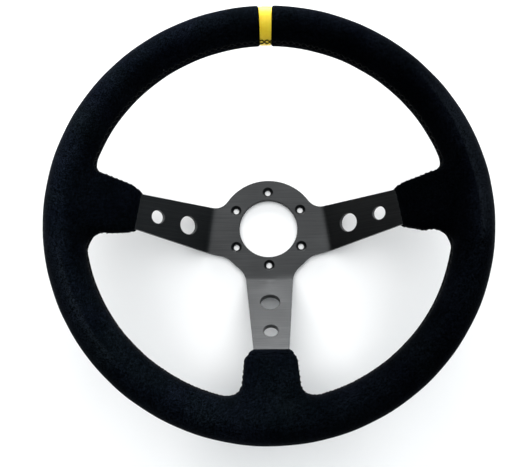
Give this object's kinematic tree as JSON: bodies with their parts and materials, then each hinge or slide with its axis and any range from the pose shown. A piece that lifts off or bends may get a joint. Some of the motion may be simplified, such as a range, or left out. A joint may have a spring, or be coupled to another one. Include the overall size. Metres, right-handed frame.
{
  "type": "racing steering wheel",
  "caption": "Deep-dish suede steering wheel: black folded plate with drilled spokes, oval padded rim and a yellow top marker band.",
  "frame": {"origin": "centre of the hub's back face, on the steering axis, where the wheel bolts to its boss", "axes": "+Z along the steering axis towards the driver, +Y to the marker band at the top of the rim, +X to the driver's right"},
  "size_m": [0.35, 0.3499, 0.09],
  "materials": {
    "black_anodised_plate": "satin",
    "bare_steel": "satin",
    "grip_foam": "matte",
    "black_suede": "matte",
    "yellow_leather": "satin",
    "black_thread": "satin"
  },
  "bodies": {
    "root": {"spider": "black_anodised_plate", "rim_hoop": "bare_steel", "hoop_joint_pin": "bare_steel", "hoop_lug_left": "bare_steel", "hoop_lug_right": "bare_steel", "hoop_lug_bottom": "bare_steel", "spoke_rivets": "bare_steel", "foam_grip": "grip_foam", "suede_cover": "black_suede", "marker_band": "yellow_leather", "marker_stitching": "black_thread", "rim_seam_upper_left": "black_thread", "rim_seam_upper_right": "black_thread", "rim_seam_lower_left": "black_thread", "rim_seam_lower_right": "black_thread", "boss_seam_left_upper": "black_thread", "boss_seam_left_lower": "black_thread", "boss_seam_right_upper": "black_thread", "boss_seam_right_lower": "black_thread", "boss_seam_bottom_left": "black_thread", "boss_seam_bottom_right": "black_thread"}
  },
  "joints": []
}
